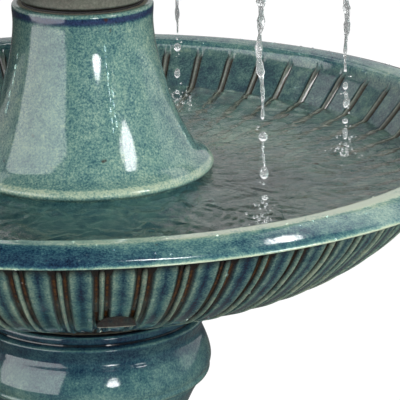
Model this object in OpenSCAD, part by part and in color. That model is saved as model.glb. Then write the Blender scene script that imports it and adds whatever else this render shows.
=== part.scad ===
// Tiered garden fountain in glazed stoneware.
// A pump under the bell of the lower column drives water up a straight tube to the finial.
// It spills from the top bowl to the upper bowl, and from six spouts back into the lower bowl.
// The origin is on the ground, on the axis of the column. +Y is the back, where the mains lead leaves.

/* [Lower bowl] */
// Diameter over the lip of the lower bowl
bowl_d = 620; // [600:5:640]
// Height of the rim of the lower bowl above the ground
rim_h = 552; // [530:2:580]
// Number of flutes round the lower bowl
flute_count = 60; // [40:4:72]
// Width of the bead between two flutes
bead_w = 4; // [3:0.5:6]
// Angle of the first bead, from +X
bead_angle = -1.4; // [-3:0.1:3]

/* [Upper bowls] */
// Diameter over the lip of the upper bowl
upper_bowl_d = 384; // [380:4:404]
// Diameter over the lip of the top bowl
top_bowl_d = 216; // [208:2:224]
// Number of spouts on each of the two upper bowls
spout_count = 6; // [4:1:8]
// Angle of the first spout of the upper bowl
spout_angle = -51; // [-90:1:90]

/* [Column] */
// Widest diameter of the bell at the foot of the column
bell_d = 190; // [188:1:196]
// Diameter of the foot of the pedestal
plinth_d = 272; // [260:2:290]
// Number of rubber pads under the pedestal
pad_count = 4; // [3:1:8]

/* [Water path] */
// Outside diameter of the riser tube
tube_d = 16; // [15:0.5:17]
// Bore of the riser tube
tube_bore = 12; // [11:0.5:12.5]
// Diameter of the mains lead that the glands take
lead_d = 6.4; // [5:0.2:7]
// Number of impeller blades
blade_count = 6; // [4:1:8]

/* [Hidden] */
$fn = 96;

running_gap = 0.05;     // radial clearance where one piece slides or turns in another
gasket_t = 1.5;         // thickness of the rubber rings between the tiers
fine_steps = 4;         // straight steps for each length of a smooth outline
coarse_steps = 2;       // and of an outline that every bead crosses

// heights of the seats, from the ground up
pad_h = 4;
pedestal_h = rim_h - 138.5;
bowl_foot_z = pedestal_h + gasket_t;
bowl_floor_z = rim_h - 115;
stem_foot_z = bowl_floor_z + gasket_t;
stem_top_z = rim_h + 92.5;
upper_foot_z = stem_top_z + gasket_t;
upper_floor_z = upper_foot_z + 30;
upper_rim_z = upper_foot_z + 84;
upper_stem_foot_z = upper_floor_z + gasket_t;
upper_stem_top_z = upper_rim_z + 77;
top_foot_z = upper_stem_top_z + gasket_t;
top_floor_z = top_foot_z + 16;
top_rim_z = top_foot_z + 46;
finial_foot_z = top_floor_z + gasket_t;
finial_top_z = top_rim_z + 52;

// radii of the holes on the axis
lip_r = bowl_d / 2;
upper_lip_r = upper_bowl_d / 2;
top_lip_r = top_bowl_d / 2;
stopper_r = 14;
grommet_r = 13;
tube_r = tube_d / 2;
lead_r = lead_d / 2;

// the spout grooves of the upper and the top bowl
spout_r = 10;
top_spout_r = 6;
spout_wall = 4;

// the pump, with its axis along Y and its outlet on the axis of the column
pump_z = bowl_floor_z + 35;
motor_w = 56;
motor_front = 7;
motor_back = 61;
well_r = 11;
well_wall = 1.5;
well_end = 50;
bush_r = 3.5;
bush_len = 3;
shaft_r = 1.5;
volute_w = 50;
volute_front = -9;
chamber_r = 17;
chamber_front = -6;
inlet_r = 9;
spigot_r = tube_bore / 2 - running_gap;
spigot_top_z = pump_z + 56;
spigot_foot_r = motor_front - 0.4;   // clears the front of the motor
cover_front = -45;
cover_wall = 2.5;
screw_pitch = 37;
tube_foot_z = pump_z + volute_w / 2 + 3;
tube_top_z = finial_top_z - 24;
cup_x = 19;
cup_y = [20, 50];

glaze = "darkslategray";
glaze_light = "cadetblue";
rubber = [0.12, 0.12, 0.13];

// A smooth run through hand-set points, as a Catmull-Rom curve.
function blend_point(a, b, c, d, t) =
    0.5 * (2 * b + (c - a) * t + (2 * a - 5 * b + 4 * c - d) * t * t
    + (3 * b - a - 3 * c + d) * t * t * t);
function smooth_run(points, steps = fine_steps) = [
    for (i = [0 : len(points) - 2], k = [0 : steps - 1])
        blend_point(points[max(i - 1, 0)], points[i], points[i + 1],
            points[min(i + 2, len(points) - 1)], k / steps),
    points[len(points) - 1]
];
function raised(points, z) = [for (p = points) [p[0], p[1] + z]];

module turned(outline) {
    rotate_extrude() polygon(outline);
}

module ring(outer_r, inner_r, z, h) {
    translate([0, 0, z])
        difference() {
            cylinder(r = outer_r, h = h);
            translate([0, 0, -1]) cylinder(r = inner_r, h = h + 2);
        }
}

module rounded_rect(w, h, r) {
    square([w - 2 * r, h], center = true);
    square([w, h - 2 * r], center = true);
    for (sx = [-1, 1], sy = [-1, 1])
        translate([sx * (w / 2 - r), sy * (h / 2 - r)]) circle(r = r);
}

// Extrudes a flat shape along the pump's axis, from one Y to another.
module along_y(from_y, to_y) {
    translate([0, to_y, pump_z])
        rotate([90, 0, 0])
            linear_extrude(to_y - from_y) children();
}

// ---- pedestal ----

// The outlines of the pedestal run up the outside and down the inside.
pedestal_outside = concat(
    [[plinth_d / 2 - 4, pad_h], [plinth_d / 2, pad_h + 5], [plinth_d / 2, 30]],
    smooth_run([[plinth_d / 2 - 6, 37], [114, 50], [110, 62]]),
    smooth_run([[114, 65], [116, 70], [114, 75]]),
    smooth_run([[106, 78], [86, 104], [70, 150], [60, 205], [56.5, pedestal_h - 144],
        [62, pedestal_h - 105], [79, pedestal_h - 69], [86.5, pedestal_h - 57]]),
    smooth_run([[90.5, pedestal_h - 49], [91.5, pedestal_h - 44], [90, pedestal_h - 36],
        [86.3, pedestal_h - 26], [84.2, pedestal_h - 19], [87, pedestal_h - 11]]),
    [[87.8, pedestal_h - 9.2], [86, pedestal_h - 7.6], [82.5, pedestal_h - 7],
     [84.9, pedestal_h - 5.6], [84.9, pedestal_h - 1], [84, pedestal_h]]
);
pedestal_inside = concat(
    [[40, pedestal_h], [40, pedestal_h - 11], [73, pedestal_h - 11]],
    smooth_run([[78, pedestal_h - 42], [70, pedestal_h - 62], [51, pedestal_h - 105],
        [46, pedestal_h - 144], [50, 205], [60, 150], [76, 100], [98, 64], [112, 38]]),
    [[112, pad_h]]
);
lead_slot_w = 16;

module pedestal() {
    color(glaze)
        difference() {
            turned(concat(pedestal_outside, pedestal_inside));
            translate([0, plinth_d / 2 + 5, pad_h + 10])
                rotate([90, 0, 0]) cylinder(d = lead_slot_w, h = 40);
            translate([-lead_slot_w / 2, plinth_d / 2 - 35, 0])
                cube([lead_slot_w, 40, pad_h + 10]);
        }
}

module pedestal_feet() {
    color(rubber)
        for (i = [0 : pad_count - 1])
            rotate(45 + i * 360 / pad_count)
                translate([plinth_d / 2 - 13, 0, 0]) cylinder(r = 9, h = pad_h);
}

module bowl_seat_gasket() {
    color(rubber) ring(76, 64, pedestal_h, gasket_t);
}

// ---- lower bowl ----

bowl_outside = concat(
    [[stopper_r, bowl_floor_z], [stopper_r, bowl_floor_z - 12], [62, bowl_floor_z - 12],
     [62, bowl_foot_z], [79, bowl_foot_z], [79, rim_h - 131]],
    smooth_run([[86, rim_h - 130], [130, rim_h - 116.5], [181, rim_h - 97.5], [207, rim_h - 85.5],
        [lip_r - 78, rim_h - 68.5], [lip_r - 55, rim_h - 44.5], [lip_r - 38, rim_h - 21]],
        coarse_steps)
);
bowl_lip = smooth_run([[lip_r - 12, rim_h - 13], [lip_r - 3, rim_h - 11], [lip_r, rim_h - 9],
    [lip_r - 2.5, rim_h - 6], [lip_r - 8, rim_h - 3.4], [lip_r - 14, rim_h - 1.6], [lip_r - 19, rim_h - 0.3],
    [lip_r - 22, rim_h], [lip_r - 27, rim_h - 0.3], [lip_r - 34, rim_h - 1.2], [lip_r - 38, rim_h - 4.5]]);
bowl_inside = smooth_run([[lip_r - 38.5, rim_h - 10], [lip_r - 61, rim_h - 34], [lip_r - 84, rim_h - 54],
    [198, rim_h - 71], [170, rim_h - 85], [140, rim_h - 97.5], [112, rim_h - 110], [96, bowl_floor_z]]);
// One bead, from just under the lip down to the foot, drawn proud of the outside.
bead_outline = concat(
    smooth_run([[88, rim_h - 131.5], [130, rim_h - 118.5], [181, rim_h - 99.5], [208, rim_h - 87.5],
        [lip_r - 76.5, rim_h - 70], [lip_r - 53.5, rim_h - 45.5], [lip_r - 36.5, rim_h - 22]],
        coarse_steps),
    [[lip_r - 42, rim_h - 16], [lip_r - 64, rim_h - 44], [200, rim_h - 82], [130, rim_h - 112],
     [92, rim_h - 125]]
);

// The half-round lug on the underside of the bowl, with a flat foot.
lug_angle = -82.8;
lug_r = 14.9;
lug_h = 8;
lug_front = 228;
lug_len = 22;

module stand_lug() {
    rotate(lug_angle)
        translate([lug_front - lug_len, 0, rim_h - 78])
            rotate([90, 0, 90])
                linear_extrude(lug_len)
                    intersection() {
                        translate([0, lug_h - lug_r]) circle(r = lug_r);
                        translate([-lug_r, 0]) square([2 * lug_r, lug_h + 1]);
                    }
}

module lower_bowl() {
    color(glaze) {
        stand_lug();
        turned(concat(bowl_outside, bowl_lip, bowl_inside));
        for (i = [0 : flute_count - 1])
            rotate(bead_angle + i * 360 / flute_count)
                rotate([90, 0, 0])
                    linear_extrude(bead_w, center = true) polygon(bead_outline);
    }
}

// The rubber stopper seals the hole in the bowl round the mains lead.
module lead_stopper() {
    color(rubber)
        difference() {
            turned([[0, bowl_floor_z - 16], [stopper_r - 2, bowl_floor_z - 16],
                [stopper_r - running_gap, bowl_floor_z - 11], [stopper_r - running_gap, bowl_floor_z],
                [stopper_r + 3, bowl_floor_z], [stopper_r + 2, bowl_floor_z + 3],
                [0, bowl_floor_z + 3]]);
            translate([0, 0, bowl_floor_z - 20]) cylinder(r = lead_r, h = 30);
        }
}

module stem_gasket() {
    color(rubber) ring(86, 79, bowl_floor_z, gasket_t);
}

// ---- lower column ----

bell_r = bell_d / 2;
stem_outside = concat(
    [[88, stem_foot_z], [88, rim_h - 35], [bell_r - 1, rim_h - 31], [bell_r, rim_h - 28.5]],
    smooth_run([[bell_r - 2, rim_h - 26], [84, rim_h - 20.5], [79, rim_h - 12.5], [73.7, rim_h - 2.7],
        [64.5, rim_h + 19], [58.3, rim_h + 41.3], [53.5, rim_h + 60.5], [51.5, rim_h + 78.5],
        [52, stem_top_z - 4]]),
    [[51.5, stem_top_z]]
);
stem_inside = concat(
    [[40, stem_top_z]],
    smooth_run([[41, rim_h + 78], [44, rim_h + 58], [49, rim_h + 38], [57, rim_h + 13],
        [66, rim_h - 7], [74, rim_h - 22], [78, rim_h - 37]]),
    [[78, stem_foot_z]]
);
inlet_arch_r = 12;
inlet_arch_count = 4;

module stem() {
    color(glaze_light)
        difference() {
            turned(concat(stem_outside, stem_inside));
            for (i = [0 : inlet_arch_count - 1])
                rotate(45 + i * 360 / inlet_arch_count) {
                    translate([60, 0, stem_foot_z + 8])
                        rotate([0, 90, 0]) cylinder(r = inlet_arch_r, h = 40);
                    translate([60, -inlet_arch_r, stem_foot_z - 1])
                        cube([40, 2 * inlet_arch_r, 9]);
                }
        }
}

module upper_bowl_gasket() {
    color(rubber) ring(45, 41, stem_top_z, gasket_t);
}

// ---- upper bowl ----

upper_outside = concat(
    [[grommet_r, 30], [grommet_r, 20], [36, 20], [36, 0], [46, 0], [47, 7], [49, 12], [51.5, 16]],
    smooth_run([[57, 20], [85, 28], [120, 40], [150, 54], [upper_lip_r - 27, 67]])
);
upper_lip = smooth_run([[upper_lip_r - 8, 72], [upper_lip_r - 1.5, 74], [upper_lip_r, 76.5],
    [upper_lip_r - 3, 80], [upper_lip_r - 9, 82.8], [upper_lip_r - 17, 84], [upper_lip_r - 23, 83.6],
    [upper_lip_r - 25.5, 80.5]]);
upper_inside = smooth_run([[upper_lip_r - 26, 77], [upper_lip_r - 38, 65], [138, 56], [112, 46],
    [84, 37], [64, 30]]);

// A groove over the rim with a short pouring lip round it.
module spout_shell(lip, r) {
    translate([lip - 24, 0, 0])
        rotate([0, 90, 0]) cylinder(r = r, h = 28);
}

module spouted_bowl(outline, lip, rim, r, first_angle) {
    difference() {
        union() {
            turned(outline);
            for (i = [0 : spout_count - 1])
                rotate(first_angle + i * 360 / spout_count)
                    translate([0, 0, rim]) spout_shell(lip, r + spout_wall);
        }
        for (i = [0 : spout_count - 1])
            rotate(first_angle + i * 360 / spout_count)
                translate([-10, 0, rim + 2]) spout_shell(lip + 5, r + 2);
        translate([0, 0, rim])
            ring(lip + 20, lip - 60, 0.3, 40);
    }
}

module upper_bowl() {
    color(glaze)
        spouted_bowl(concat(raised(upper_outside, upper_foot_z), raised(upper_lip, upper_foot_z),
            raised(upper_inside, upper_foot_z)), upper_lip_r, upper_rim_z, spout_r, spout_angle);
}

module grommet(hole_r, floor_z, floor_t) {
    color(rubber)
        difference() {
            turned([[0, floor_z - floor_t - 3], [hole_r - 2, floor_z - floor_t - 3],
                [hole_r - running_gap, floor_z - floor_t + 1], [hole_r - running_gap, floor_z],
                [hole_r + 4, floor_z], [hole_r + 3, floor_z + 4], [0, floor_z + 4]]);
            translate([0, 0, floor_z - 30]) cylinder(r = tube_r + running_gap, h = 60);
        }
}

module upper_bowl_grommet() {
    grommet(grommet_r, upper_floor_z, 10);
}

module upper_stem_gasket() {
    color(rubber) ring(44, 38, upper_floor_z, gasket_t);
}

// ---- upper column and top bowl ----

upper_stem_outside = concat(
    [[45, upper_stem_foot_z], [45, upper_rim_z - 12], [51, upper_rim_z - 8], [52, upper_rim_z - 5]],
    smooth_run([[51, upper_rim_z - 3], [44, upper_rim_z + 3], [38, upper_rim_z + 16],
        [32, upper_rim_z + 36], [28.5, upper_rim_z + 58], [28, upper_stem_top_z - 4]]),
    [[27.5, upper_stem_top_z]]
);
upper_stem_inside = concat(
    [[20, upper_stem_top_z]],
    smooth_run([[21, upper_rim_z + 55], [24, upper_rim_z + 34], [30, upper_rim_z + 14],
        [36, upper_rim_z], [37, upper_rim_z - 12]]),
    [[37, upper_stem_foot_z]]
);
drain_arch_r = 7;

module upper_stem() {
    color(glaze_light)
        difference() {
            turned(concat(upper_stem_outside, upper_stem_inside));
            for (i = [0 : inlet_arch_count - 1])
                rotate(45 + i * 360 / inlet_arch_count)
                    translate([30, 0, upper_stem_foot_z + 2])
                        rotate([0, 90, 0]) cylinder(r = drain_arch_r, h = 24);
        }
}

module top_bowl_gasket() {
    color(rubber) ring(26, 21, upper_stem_top_z, gasket_t);
}

top_outside = concat(
    [[grommet_r, 16], [grommet_r, 8], [21, 8], [21, 0], [27, 0], [27.5, 7]],
    smooth_run([[33, 11], [52, 16.5], [74, 26], [top_lip_r - 17, 37]])
);
top_lip = smooth_run([[top_lip_r - 5, 39.5], [top_lip_r - 1, 40.5], [top_lip_r, 42],
    [top_lip_r - 4, 45], [top_lip_r - 10, 46], [top_lip_r - 14.5, 43.5]]);
top_inside = smooth_run([[top_lip_r - 15, 41.5], [top_lip_r - 26, 33], [62, 25], [46, 18.5], [36, 16]]);

module top_bowl() {
    color(glaze)
        spouted_bowl(concat(raised(top_outside, top_foot_z), raised(top_lip, top_foot_z),
            raised(top_inside, top_foot_z)), top_lip_r, top_rim_z, top_spout_r,
            spout_angle + 180 / spout_count);
}

module top_bowl_grommet() {
    grommet(grommet_r, top_floor_z, 8);
}

module finial_gasket() {
    color(rubber) ring(25, 19, top_floor_z, gasket_t);
}

// The finial is a bud with a cup at its tip, where the water wells out.
bud_z = top_rim_z + 20;
finial_outside = concat(
    [[26, finial_foot_z], [26, top_rim_z - 6]],
    smooth_run([[24, top_rim_z - 3], [15, top_rim_z + 1], [12.5, top_rim_z + 5]]),
    smooth_run([[17, top_rim_z + 8], [24, bud_z - 2], [25.5, bud_z + 6], [22, bud_z + 16],
        [15.5, bud_z + 24], [13, bud_z + 28], [14.5, finial_top_z - 1]]),
    [[13.5, finial_top_z], [11.5, finial_top_z - 1], [9, finial_top_z - 6]]
);

module finial() {
    color(glaze_light)
        difference() {
            turned(concat([[0, finial_foot_z]], finial_outside, [[0, finial_top_z - 6]]));
            translate([0, 0, finial_foot_z - 1])
                cylinder(r = tube_r + running_gap, h = tube_top_z - finial_foot_z + 2);
            translate([0, 0, tube_top_z]) cylinder(r = 5, h = 40);
            translate([0, 0, finial_foot_z - 1]) cylinder(r = 18.5, h = 10);
        }
}

// ---- riser ----

module riser_tube() {
    color([0.75, 0.8, 0.82, 0.6])
        ring(tube_r, tube_bore / 2, tube_foot_z, tube_top_z - tube_foot_z);
}

clamp_wall = 1.6;
clamp_h = 9;

module tube_clamp() {
    color(rubber)
        translate([0, 0, tube_foot_z + 6])
            difference() {
                union() {
                    cylinder(r = tube_r + clamp_wall, h = clamp_h);
                    translate([tube_r, -4.5, 0]) cube([9, 9, clamp_h]);
                }
                translate([0, 0, -1]) cylinder(r = tube_r + running_gap, h = clamp_h + 2);
                translate([tube_r - 2, -1, -1]) cube([14, 2, clamp_h + 2]);
            }
}

// ---- pump ----

stator_y = [18, 38];
stator_z = pump_z - 23;

module pump_body() {
    color([0.13, 0.14, 0.15]) {
        difference() {
            along_y(motor_front, motor_back) rounded_rect(motor_w, motor_w, 8);
            translate([-24, 14, stator_z]) cube([48, 28, 38]);
            along_y(motor_front - 1, well_end) circle(r = well_r);
            along_y(well_end - 1, well_end + bush_len) circle(r = bush_r);
            for (sx = [-1, 1], sz = [-1, 1])
                translate([sx * screw_pitch / 2, 0, sz * screw_pitch / 2])
                    along_y(motor_front - 1, 13) circle(r = shaft_r + running_gap);
            for (sx = [-1, 1], y = cup_y)
                translate([sx * cup_x, y, pump_z - motor_w / 2 - 1])
                    cylinder(r = 2 + running_gap, h = 4);
            translate([0, motor_back - 6, pump_z + 16])
                rotate([-90, 0, 0]) cylinder(r = 5, h = 10);
        }
        difference() {
            along_y(13, 43) circle(r = well_r + well_wall);
            along_y(12, 44) circle(r = well_r);
        }
    }
}

// U-shaped laminations, with a leg on each side of the rotor well.
module stator_core() {
    color("slategray")
        difference() {
            translate([-21, stator_y[0], stator_z]) cube([42, stator_y[1] - stator_y[0], 35]);
            translate([-12.8, stator_y[0] - 1, stator_z + 6])
                cube([25.6, stator_y[1] - stator_y[0] + 2, 40]);
        }
}

module stator_coils() {
    color("peru")
        for (side = [-1, 1])
            translate([side * 16.9, (stator_y[0] + stator_y[1]) / 2, stator_z + 6])
                difference() {
                    translate([-6.6, -13.5, 0]) cube([13.2, 27, 6]);
                    translate([-4.2, -10.1, -1]) cube([8.4, 20.2, 8]);
                }
}

module pump_volute() {
    color([0.13, 0.14, 0.15])
        difference() {
            union() {
                along_y(volute_front, motor_front) rounded_rect(volute_w, volute_w, 6);
                translate([0, 0, pump_z + volute_w / 2 - 1]) cylinder(r = spigot_foot_r, h = 4);
                translate([0, 0, pump_z + 20]) cylinder(r = spigot_r, h = spigot_top_z - pump_z - 20);
            }
            difference() {
                union() {
                    along_y(chamber_front, motor_front + 1) circle(r = chamber_r);
                    along_y(volute_front - 1, chamber_front + 1) circle(r = inlet_r);
                }
                along_y(volute_front - 1, chamber_front) {
                    circle(r = bush_r + 2);
                    for (i = [0 : 2])
                        rotate(90 + i * 120)
                            translate([0, -1]) square([inlet_r + 2, 2]);
                }
            }
            along_y(volute_front - 1, chamber_front + 1) circle(r = bush_r);
            translate([0, 0, pump_z + 10]) cylinder(r = 4.5, h = 60);
            for (sx = [-1, 1], sz = [-1, 1])
                translate([sx * screw_pitch / 2, 0, sz * screw_pitch / 2])
                    along_y(volute_front - 1, motor_front + 1) circle(r = shaft_r + running_gap);
        }
}

module volute_screws() {
    color("silver")
        for (sx = [-1, 1], sz = [-1, 1])
            translate([sx * screw_pitch / 2, 0, sz * screw_pitch / 2]) {
                along_y(volute_front, 12) circle(r = shaft_r);
                difference() {
                    along_y(volute_front - 2, volute_front) circle(r = 3);
                    along_y(volute_front - 3, volute_front - 1)
                        square([3.6, 0.8], center = true);
                }
            }
}

// Ports in the front of the inlet cover, which the dial opens and closes.
module ports(r) {
    for (i = [0 : 2])
        rotate(i * 120) translate([11, 0]) circle(r = r);
}
port_r = 4.5;
dial_r = 17;
dial_pin_r = 3;
grille_w = 2.2;

module inlet_cover() {
    color([0.16, 0.17, 0.18])
        difference() {
            along_y(cover_front, volute_front) rounded_rect(volute_w, volute_w, 6);
            along_y(cover_front + cover_wall, volute_front + 1)
                rounded_rect(volute_w - 2 * cover_wall, volute_w - 2 * cover_wall, 4);
            along_y(cover_front - 1, cover_front + 5) {
                ports(port_r);
                circle(r = dial_pin_r + running_gap);
            }
            for (y = [-38 : 6 : -14]) {
                translate([-40, y, pump_z - 14]) cube([80, grille_w, 28]);
                translate([-14, y, pump_z - 40]) cube([28, grille_w, 80]);
            }
        }
}

module filter_foam() {
    color([0.1, 0.16, 0.3])
        along_y(-40, -12) rounded_rect(44, 44, 3);
}

module flow_dial() {
    color("teal") {
        difference() {
            along_y(cover_front - 3, cover_front - 0.2) circle(r = dial_r);
            along_y(cover_front - 4, cover_front) ports(port_r);
        }
        along_y(cover_front - 8, cover_front - 3) square([3.5, 2 * dial_r - 16], center = true);
        along_y(cover_front - 1, cover_front + cover_wall + 1.4) circle(r = dial_pin_r);
        along_y(cover_front + cover_wall + 0.2, cover_front + cover_wall + 1.4) circle(r = 4.2);
    }
}

blade_r = 15;

module impeller() {
    color("white")
        difference() {
            union() {
                along_y(2.5, 4) circle(r = blade_r);
                along_y(-4.5, 6.5) circle(r = 4.5);
                for (i = [0 : blade_count - 1])
                    along_y(-4, 3)
                        rotate(i * 360 / blade_count)
                            translate([3, -0.8]) square([blade_r - 4, 1.6]);
            }
            along_y(-6, 8) circle(r = shaft_r + running_gap);
        }
}

module rotor_magnet() {
    color("dimgray")
        difference() {
            along_y(6.5, 46) circle(r = well_r - 1.2);
            along_y(5, 48) circle(r = shaft_r + running_gap);
        }
}

module impeller_shaft() {
    color("silver") along_y(volute_front, well_end + bush_len) circle(r = shaft_r);
}

module shaft_bushes() {
    color(rubber)
        for (y = [volute_front, well_end])
            difference() {
                along_y(y, y + bush_len) circle(r = bush_r - 0.02);
                along_y(y - 1, y + bush_len + 1) circle(r = shaft_r + 0.02);
            }
}

module suction_cups() {
    color(rubber)
        for (sx = [-1, 1], y = cup_y)
            translate([sx * cup_x, y, 0])
                turned([[0, bowl_floor_z + 2.5], [7, bowl_floor_z], [9, bowl_floor_z],
                    [8.2, bowl_floor_z + 1.6], [3.5, bowl_floor_z + 4],
                    [3.5, pump_z - motor_w / 2], [2, pump_z - motor_w / 2],
                    [2, pump_z - motor_w / 2 + 2.5], [0, pump_z - motor_w / 2 + 2.5]]);
}

module lead_gland() {
    color(rubber)
        translate([0, motor_back, pump_z + 16])
            rotate([-90, 0, 0])
                difference() {
                    union() {
                        translate([0, 0, -6]) cylinder(r = 5 - running_gap, h = 7);
                        cylinder(r1 = 7, r2 = 5, h = 11);
                    }
                    translate([0, 0, -7]) cylinder(r = lead_r, h = 20);
                }
}

pedestal();
pedestal_feet();
bowl_seat_gasket();
lower_bowl();
lead_stopper();
stem_gasket();
stem();
upper_bowl_gasket();
upper_bowl();
upper_bowl_grommet();
upper_stem_gasket();
upper_stem();
top_bowl_gasket();
top_bowl();
top_bowl_grommet();
finial_gasket();
finial();
riser_tube();
tube_clamp();
pump_body();
stator_core();
stator_coils();
pump_volute();
volute_screws();
inlet_cover();
filter_foam();
flow_dial();
impeller();
rotor_magnet();
impeller_shaft();
shaft_bushes();
suction_cups();
lead_gland();
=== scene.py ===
# Tiered garden fountain in reactive-glazed stoneware, with its water running.
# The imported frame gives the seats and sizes; this file gives the flutes, the glazes and the water.
import math
import bpy
import numpy as np
from mathutils import Matrix, Vector


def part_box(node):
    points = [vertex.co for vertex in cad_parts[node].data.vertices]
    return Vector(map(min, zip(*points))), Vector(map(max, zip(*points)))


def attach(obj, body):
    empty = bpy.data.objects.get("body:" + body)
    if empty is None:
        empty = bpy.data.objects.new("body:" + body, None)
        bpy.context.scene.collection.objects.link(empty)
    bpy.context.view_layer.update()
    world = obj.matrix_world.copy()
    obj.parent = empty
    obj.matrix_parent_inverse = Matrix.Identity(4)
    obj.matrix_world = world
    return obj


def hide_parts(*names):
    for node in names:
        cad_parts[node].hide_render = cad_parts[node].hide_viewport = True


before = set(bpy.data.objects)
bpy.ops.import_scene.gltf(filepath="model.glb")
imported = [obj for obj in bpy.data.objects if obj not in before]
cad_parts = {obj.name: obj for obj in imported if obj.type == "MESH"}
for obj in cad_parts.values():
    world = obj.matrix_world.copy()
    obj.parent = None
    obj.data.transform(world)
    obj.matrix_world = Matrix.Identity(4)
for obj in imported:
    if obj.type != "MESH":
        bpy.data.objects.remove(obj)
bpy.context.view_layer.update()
scene = bpy.context.scene
mm = 0.001

# seats of the tiers, in metres above the ground
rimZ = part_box("lower_bowl")[1].z
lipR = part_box("lower_bowl")[1].x
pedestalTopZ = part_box("pedestal")[1].z
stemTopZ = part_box("stem")[1].z
upperFootZ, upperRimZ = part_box("upper_bowl")[0].z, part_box("upper_bowl")[1].z
topFootZ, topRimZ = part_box("top_bowl")[0].z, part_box("top_bowl")[1].z
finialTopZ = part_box("finial")[1].z

cameraLook = {
    "span": lipR / 1.096,      # radius of the rim's ridge, the unit of the numbers below
    "place": (0.298, -6.0, 1.644),
    "pitch": 17.22,            # degrees down
    "roll": -0.60,
    "lens": 213.5,
}
cam = bpy.data.objects.new("camera", bpy.data.cameras.new("camera"))
scene.collection.objects.link(cam)
cam.data.lens = cameraLook["lens"]
cam.data.sensor_width = 36
cam.data.clip_end = 60
turn = Matrix.Rotation(math.radians(90 - cameraLook["pitch"]), 4, "X")
turn = turn @ Matrix.Rotation(math.radians(cameraLook["roll"]), 4, "Z")
place = Vector(cameraLook["place"]) * cameraLook["span"] + Vector((0, 0, rimZ))
cam.matrix_world = Matrix.Translation(place) @ turn
scene.camera = cam
print("camera set")


# A smooth run of count points through given ones.
def smoothRun(points, count):
    p = np.array([points[0]] + list(points) + [points[-1]], float)
    spans = len(points) - 1
    s = np.linspace(0, spans, count)
    i = np.minimum(s.astype(int), spans - 1)
    t = (s - i)[:, None]
    a, b, c, d = p[i], p[i + 1], p[i + 2], p[i + 3]
    square, cube = 2 * a - 5 * b + 4 * c - d, 3 * b - a - 3 * c + d
    return 0.5 * (2 * b + (c - a) * t + square * t ** 2 + cube * t ** 3)


def ease(x, low, high):
    t = np.clip((x - low) / (high - low), 0, 1)
    return t * t * (3 - 2 * t)


# One turned outline, as rows. Each zone is (name, points in mm as radius and height, rows).
def readOutline(zones, lift):
    r, z, names, along = [], [], [], []
    for name, points, count in zones:
        run = smoothRun(points, count) if count else np.array(points, float)
        r.extend(run[:, 0] * mm)
        z.extend(run[:, 1] * mm + lift)
        names.extend([name] * len(run))
        along.extend(np.linspace(0, 1, len(run)))
    return {"r": np.array(r), "z": np.array(z), "zone": np.array(names), "along": np.array(along)}


def paintLayer(mesh, name, values):
    made = mesh.attributes.new(name, "FLOAT", "POINT")
    made.data.foreach_set("value", values.astype(np.float32).ravel())


# Builds a mesh from a grid of points, closed round the axis, and along the outline too if loop is set.
def gridPiece(name, x, y, z, paint=None, loop=True, sharp=50):
    rows, cols = x.shape
    mesh = bpy.data.meshes.new(name)
    i = np.arange(rows if loop else rows - 1)[:, None]
    j = np.arange(cols)[None, :]
    k, n = (i + 1) % rows, (j + 1) % cols
    quads = np.stack([i * cols + j, i * cols + n, k * cols + n, k * cols + j], -1).reshape(-1, 4)
    r, up = np.hypot(x[:, 0], y[:, 0]), z[:, 0]
    if loop and np.sum(r * np.roll(up, -1) - np.roll(r, -1) * up) < 0:
        quads = quads[:, ::-1]      # the outline ran down the outside
    mesh.vertices.add(rows * cols)
    mesh.vertices.foreach_set("co", np.stack([x, y, z], -1).astype(np.float32).ravel())
    mesh.loops.add(quads.size)
    mesh.loops.foreach_set("vertex_index", quads.astype(np.int32).ravel())
    mesh.polygons.add(len(quads))
    mesh.polygons.foreach_set("loop_start", np.arange(0, quads.size, 4, dtype=np.int32))
    mesh.update(calc_edges=True)
    for layer, values in (paint or {}).items():
        paintLayer(mesh, layer, values)
    mesh.shade_smooth()
    mesh.set_sharp_from_angle(angle=math.radians(sharp))
    piece = bpy.data.objects.new(name, mesh)
    scene.collection.objects.link(piece)
    return piece


def blank(rows, cols):
    return {layer: np.zeros((rows, cols)) for layer in ("thinGlazeAndLight", "blue", "groove", "warm", "bare")}


def finish(piece, body, look, slot, *nodes):
    piece.data.materials.append(look)
    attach(piece, body)
    if nodes:
        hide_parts(*nodes)
    return piece


def newLook(name):
    look = bpy.data.materials.new(name)
    look.use_nodes = True
    tree = look.node_tree
    tree.nodes.clear()
    out = tree.nodes.new("ShaderNodeOutputMaterial")
    shader = tree.nodes.new("ShaderNodeBsdfPrincipled")
    tree.links.new(shader.outputs[0], out.inputs[0])
    return look, tree, shader


def add(tree, kind, inputs=None, **settings):
    made = tree.nodes.new(kind)
    for key, value in settings.items():
        setattr(made, key, value)
    for key, value in (inputs or {}).items():
        if isinstance(value, bpy.types.NodeSocket):
            tree.links.new(value, made.inputs[key])
        else:
            made.inputs[key].default_value = value
    return made


def where(tree):
    return add(tree, "ShaderNodeTexCoord").outputs["Object"]


def noise(tree, at, scale, detail=3, rough=0.5, warp=0):
    settings = {"Vector": at, "Scale": scale, "Detail": detail, "Roughness": rough, "Distortion": warp}
    return add(tree, "ShaderNodeTexNoise", settings).outputs["Fac"]


def sums(tree, operation, a, b, clamp=False):
    return add(tree, "ShaderNodeMath", {0: a, 1: b}, operation=operation, use_clamp=clamp).outputs[0]


def layer(tree, name):
    return add(tree, "ShaderNodeAttribute", attribute_name=name).outputs["Fac"]


def ramp(tree, value, stops):
    made = add(tree, "ShaderNodeValToRGB", {"Fac": value})
    bar = made.color_ramp
    while len(bar.elements) < len(stops):
        bar.elements.new(0.5)
    for element, (place, colour) in zip(bar.elements, stops):
        element.position = place
        element.color = (*colour, 1)
    return made.outputs["Color"]


def step(tree, value, low, high):
    made = add(tree, "ShaderNodeMapRange", {"Value": value, "From Min": low, "From Max": high})
    return made.outputs["Result"]


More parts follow.
